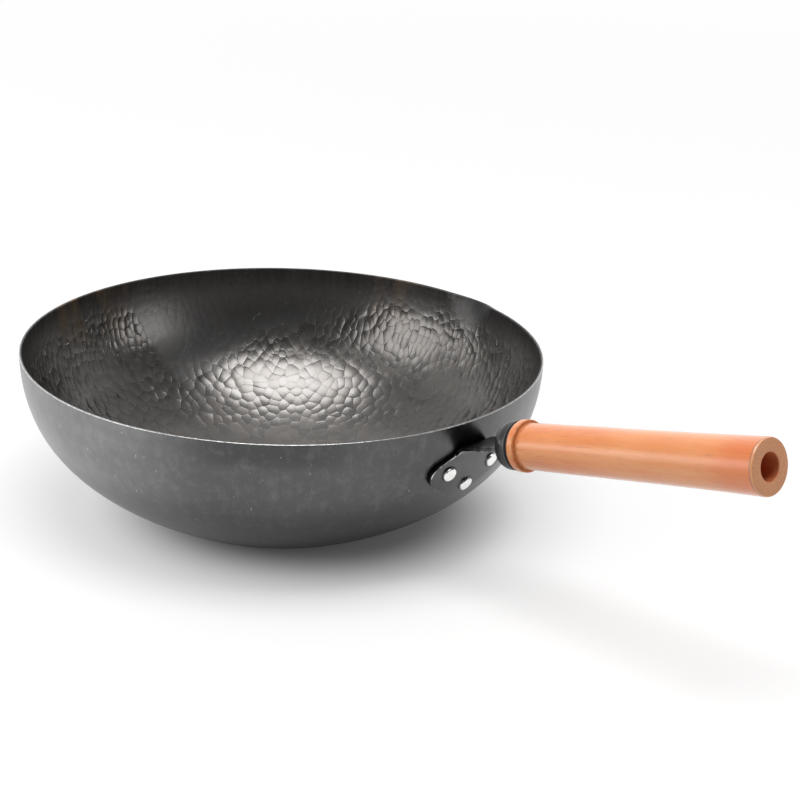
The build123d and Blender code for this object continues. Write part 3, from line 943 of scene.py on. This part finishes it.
def bracketPiece():
    size = bracket
    line = bracketLine()
    along = lengths(line)
    half = bracketOutline(line)
    outline = half + [(-y, v) for y, v in reversed(half) if y > 1e-7]
    bm = bmesh.new()
    face = bm.faces.new([bm.verts.new((y, v, -size["sheet"] / 2)) for y, v in outline])
    grown = bmesh.ops.extrude_face_region(bm, geom=[face])["geom"]
    lifted = [v for v in grown if isinstance(v, bmesh.types.BMVert)]
    bmesh.ops.translate(bm, vec=(0, 0, size["sheet"]), verts=lifted)
    bmesh.ops.recalc_face_normals(bm, faces=bm.faces)
    rims = [e for e in bm.edges if abs(e.verts[0].co.z - e.verts[1].co.z) < 1e-7]
    bmesh.ops.bevel(bm, geom=rims, offset=size["edgeRound"], segments=3, profile=0.5, affect="EDGES")
    worn, shaded = bm.verts.layers.float.new("wornEdge"), bm.verts.layers.float.new("darkSide")
    corner = float(np.interp(size["cornerHeight"], line[:, 1], along))
    bend = float(np.interp(handleRoot[1], line[:, 1], along))
    for vert in bm.verts:
        down = (size["sheet"] / 2 - vert.co.z) / size["edgeRound"]
        # painted highlight along the upper left rounded edges and the tongue
        vert[worn] = float(0.02 < down < 0.98 and vert.co.x < 0 and vert.co.y > corner)
        # the tongue's side face is painted a little lighter, as lit
        if down > 0.98 and vert.co.x < 0 and vert.co.y > bend:
            vert[worn] = size["wornBend"]
        # the plate's side faces get painted shade
        vert[shaded] = float(down > 0.98 and vert.co.y < bend)
    for v in np.arange(size["cutAlong"], along[-1], size["cutAlong"]):
        cutMesh(bm, (0, v, 0), (0, 1, 0))
    for k in range(-size["cutsAside"], size["cutsAside"] + 1):
        cutMesh(bm, (k * size["cutAcross"], 0, 0), (1, 0, 0))
    runs = unitRuns(line, along)
    for vert in bm.verts:
        y, v, n = vert.co
        r, z = np.interp(v, along, line[:, 0]), np.interp(v, along, line[:, 1])
        tr, tz = np.interp(v, along, runs[:, 0]), np.interp(v, along, runs[:, 1])
        grow = 1 / sqrt(tr * tr + tz * tz)
        r, z = r + tz * n * grow, z - tr * n * grow
        vert.co = (sqrt(r * r - y * y), y, z)
    mesh = bpy.data.meshes.new("bracket_painted")
    closeMesh(bm, mesh)
    piece = linked("bracket_painted", mesh)
    smoothFaces(piece, 40)
    return piece


seat(bracketPiece(), ["bracket"], finishes["bracket"])
print("bracket bent")


rivet = {
    **millimetres(shank=2.4, head=4.4, rise=1.9, headRound=0.9, inner=4.4, innerRise=1.3, innerRound=0.6,
                  seatRound=0.1, dent=0.15, dentSize=2.0),
    "flat": 0.45,
}


def rivetPlane(height, sideways):
    wall = wallLine(0, 4000)
    at = int(np.argmax(wall[:, 1] > height))
    run, r = unitRuns(wall)[at], wall[at][0]
    place = Vector((sqrt(r * r - sideways * sideways), sideways, height))
    return place, Vector((run[1] * place.x / r, run[1] * sideways / r, -run[0]))


def rivetPiece(name, height, sideways, seed):
    size = rivet
    place, side = rivetPlane(height, sideways)
    inside = -(shape["sheet"] + bracket["film"])
    outside = bracket["film"] + bracket["sheet"]
    section = roundedLine([
        (inside - size["innerRise"], 0, 0), (inside - size["innerRise"], size["inner"], size["innerRound"]),
        (inside, size["inner"], size["seatRound"]), (inside, size["shank"], 0), (outside, size["shank"], 0),
        (outside, size["head"], size["seatRound"]), (outside + size["rise"], size["head"], size["headRound"]),
        (outside + size["rise"], size["head"] * size["flat"], 0), (outside + size["rise"], 0, 0)], 6)
    return turned(name, section, place, side, finishes["rivet"], 48, size["dent"], size["dentSize"], seed)


for name, height, sideways, seed in (("rivet_left", bracket["upper"], -bracket["spread"], 1.0),
                                     ("rivet_right", bracket["upper"], bracket["spread"], 2.0),
                                     ("rivet_lower", bracket["lower"], 0.0, 3.0)):
    seat(rivetPiece(name + "_set", height, sideways, seed), [name], finishes["rivet"])
print("rivets set")


collar = millimetres(start=28.1, end=36.6, radius=14.4, crown=4.6, crownStart=0.3, crownDepth=1.3,
                     backRound=0.5)


def collarPiece():
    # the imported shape, joined up, with a softer crown towards the bowl
    size = collar
    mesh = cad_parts["collar"].data.copy()
    mesh.name = "collar_moulded"
    bm = openMesh(mesh)
    bmesh.ops.remove_doubles(bm, verts=bm.verts, dist=weld)
    cuts = list(np.linspace(size["crownStart"], size["crown"], 12))
    for level in cuts + [size["end"] - size["start"] - size["backRound"]]:
        cutMesh(bm, handleStart + handleAxis * (size["start"] + level), handleAxis)
    for vert in bm.verts:
        level = (vert.co - handleStart).dot(handleAxis)
        foot = handleStart + handleAxis * level
        reach = (vert.co - foot).length
        share = max(0.0, 1 - (level - size["start"]) / size["crown"])
        limit = size["radius"] - size["crownDepth"] * share ** 2
        limit -= 0.3 * size["backRound"] * (level > size["end"] - 0.1 * size["backRound"])
        if reach > limit:
            vert.co = foot + (vert.co - foot) * (limit / reach)
    closeMesh(bm, mesh)
    piece = linked("collar_moulded", mesh)
    smoothFaces(piece, 32)
    return piece


seat(collarPiece(), ["collar"], finishes["collar"])

ring = millimetres(start=36.6, length=1.0, radius=14.1, bore=6.2, round=0.3)
ringSection = roundedLine([
    (ring["start"], ring["bore"], 0), (ring["start"], ring["radius"], ring["round"]),
    (ring["start"] + ring["length"], ring["radius"], ring["round"]),
    (ring["start"] + ring["length"], ring["bore"], 0)])
seat(turned("sealing_ring_cut", ringSection, handleStart, handleAxis, finishes["rubber"], 96),
     ["sealing_ring"], finishes["rubber"])


def gripSection():
    g = grip
    start, end = g["start"], g["start"] + g["length"]
    edge, bottom = end - g["bevel"], end - g["hangDepth"]
    beadEnd = start + g["beadLength"]
    waist = beadEnd + g["grooveWidth"]
    front = roundedLine([
        (start, g["bossBore"], 0), (start, g["bead"], g["beadRound"]), (beadEnd, g["bead"], g["beadRound"]),
        (beadEnd, g["groove"], g["grooveRound"]), (waist, g["groove"], g["grooveRound"]),
        (waist, g["waist"], 0)], 8)
    knots = [(waist, g["waist"]), (start + g["length"] * g["middleShare"], g["middle"]),
             (start + g["length"] * g["swellShare"], g["swell"]), (edge, g["butt"])]
    fit = np.polyfit([k[0] for k in knots], [k[1] for k in knots], 3)
    bodyEnd = edge - g["bevelRun"]
    body = [(x, np.polyval(fit, x)) for x in np.linspace(waist, edge, 60)[1:-1] if x < bodyEnd]
    back = roundedLine([
        (bodyEnd, np.polyval(fit, bodyEnd), 0), (edge, g["butt"], g["buttRound"]),
        (end, g["butt"] - g["bevelDepth"], g["endRound"]), (end, g["hang"], g["hangRound"]),
        (bottom, g["hang"], g["seatRound"]), (bottom, g["seat"], g["seatRound"]),
        (bottom - g["seatDepth"], g["seat"], 0), (bottom - g["seatDepth"], g["screwBore"], 0),
        (g["bossEnd"], g["screwBore"], 0), (g["bossEnd"], g["bossBore"], 0)], 5)
    return np.concatenate([front, body, back])


gripPiece = turned("grip_wood", gripSection(), handleStart, handleAxis, finishes["wood"], 160,
                   grip["waver"], grip["waverSize"], 5.0)
seat(gripPiece, ["grip"], finishes["wood"])
smoothFaces(gripPiece, 50)
print("handle turned")

for name in ("tang_boss", "handle_screw", "flat_washer", "spring_washer"):
    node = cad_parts[name]
    if not node.material_slots:
        node.data.materials.append(finishes["plate"])
    for slot in node.material_slots:
        slot.material = finishes["plate"]


room = {
    "floor": 9.0, "drop": 0.2 * mm, "floorColour": 0.56, "skyDark": 0.09, "skyBright": 1.25,
    "brightBearing": 145.0,
    # the floor's own glow: close under the bowl, round it, and far off
    "glowUnder": 0.04, "glowRound": 0.51, "glowFar": 0.745,
    "under": 0.073, "round": 0.143, "near": 0.3, "far": 2.0,
    "shift": 0.0204, "shiftBearing": 24.0,
}
lamps = {
    # name: bearing from the handle and height in degrees, distance, wide, high, brightness, round or square
    "key": (-51, 81.2, 1.5, 1.28, 0.78, 4.9, "ELLIPSE"),
    "window": (-110, 22, 1.8, 0.95, 1.45, 2.3, "RECTANGLE"),
    "strip": (-136, 9, 1.8, 0.55, 0.50, 3.2, "RECTANGLE"),
    "fill": (25, 16, 1.8, 0.75, 0.75, 1.9, "RECTANGLE"),
}


def floorFinish():
    b, place = newFinish("paleFloor")
    bearing = radians(room["shiftBearing"])
    middle = (room["shift"] * cos(bearing), room["shift"] * sin(bearing), 0.0)
    away = b.vectorMaths("DISTANCE", place, middle)
    # the glow is painted light: dim close under the bowl and rising away from a middle shifted aside, so its
    # shape paints part of the bowl's shadow
    glow = b.steps(away, room["under"], room["round"], room["glowUnder"], room["glowRound"])
    more = room["glowFar"] - room["glowRound"]
    glow = glow + b.steps(away, room["near"], room["far"], 0.0, more, smooth=False)
    camera, glossy, through = [b.node("ShaderNodeLightPath", output=f"Is {kind} Ray")
                               for kind in ("Camera", "Glossy", "Transmission")]
    seen = b.maths("ADD", camera + glossy, through, clamp=True)
    paint = b.node("ShaderNodeBsdfDiffuse", {"Color": grey(room["floorColour"])})
    light = b.node("ShaderNodeEmission", {"Color": (1, 1, 1), "Strength": glow * seen})
    return surface(b, None, b.node("ShaderNodeAddShader", {0: paint, 1: light}))


corners = [(x * room["floor"], y * room["floor"], 0) for x, y in ((-1, -1), (1, -1), (1, 1), (-1, 1))]
floor = meshPiece("floor", corners, [(0, 1, 2, 3)])
floor.data.materials.append(floorFinish())
floor.location.z = -room["drop"]


def studioWorld():
    # a dim room, brighter on the side behind the wok
    world = bpy.data.worlds.new("studio")
    bpy.context.scene.world = world
    world.use_nodes = True
    world.node_tree.nodes.clear()
    b = Board(world.node_tree)
    bearing = radians(room["brightBearing"])
    sight = b.node("ShaderNodeTexCoord", output="Generated")
    side = b.vectorMaths("DOT_PRODUCT", sight, (cos(bearing), sin(bearing), 0.0))
    strength = b.steps(side, -0.2, 1.0, room["skyDark"], room["skyBright"], smooth=False)
    sky = b.node("ShaderNodeBackground", {"Color": (1, 1, 1), "Strength": strength})
    b.node("ShaderNodeOutputWorld", {"Surface": sky})


def hangLamp(name, bearing, height, distance, wide, high, brightness, form):
    light = bpy.data.lights.new(name, "AREA")
    light.shape, light.size, light.size_y = form, wide, high
    area = wide * high * (pi / 4 if form == "ELLIPSE" else 1)
    light.energy = brightness * area * pi
    lamp = linked(name, light)
    bearing, height = radians(bearing), radians(height)
    aim = Vector((cos(bearing) * cos(height), sin(bearing) * cos(height), sin(height)))
    lamp.location = aim * distance
    lamp.rotation_mode = "QUATERNION"
    lamp.rotation_quaternion = (-aim).to_track_quat("-Z", "Y")


studioWorld()
for name, values in lamps.items():
    hangLamp(name, *values)

view = {
    # solved from the photograph's rim, base and handle
    "lensShare": 2600 / 800, "distance": 1.59543, "height": 0.10025, "azimuth": 46.0, "elevation": 19.68,
    "roll": 1.10, "centreX": 282.49, "centreY": 347.74, "frame": 800,
    "sensor": 36, "nearest": 0.05, "furthest": 60,
}


def photoCamera():
    v = view
    az, el, roll = radians(v["azimuth"]), radians(v["elevation"]), radians(v["roll"])
    back = Vector((sin(az) * cos(el), -cos(az) * cos(el), sin(el)))
    right = Vector((cos(az), sin(az), 0))
    up = right.cross(-back)
    rolledRight = cos(roll) * right + sin(roll) * up
    rolledUp = cos(roll) * up - sin(roll) * right
    focal = v["lensShare"] * v["frame"]
    mid = v["frame"] / 2
    sight = Vector(((v["centreX"] - mid) / focal, -(v["centreY"] - mid) / focal, 1)).normalized()
    swing = Vector((0, 0, 1)).rotation_difference(sight).to_matrix()
    toCamera = swing @ Matrix((rolledRight, rolledUp, -back))      # rows: right, up, ahead
    data = bpy.data.cameras.new("photoCamera")
    data.sensor_width, data.lens = v["sensor"], v["sensor"] * v["lensShare"]
    data.clip_start, data.clip_end = v["nearest"], v["furthest"]
    camera = linked("photoCamera", data)
    place = Vector((0, 0, v["height"])) + back * v["distance"]
    x, y, ahead = toCamera
    camera.matrix_world = Matrix.Translation(place) @ Matrix((x, y, -ahead)).transposed().to_4x4()
    bpy.context.scene.camera = camera


photoCamera()
bpy.context.scene.view_settings.view_transform = "Standard"
print("room lit by", len(lamps), "lamps")
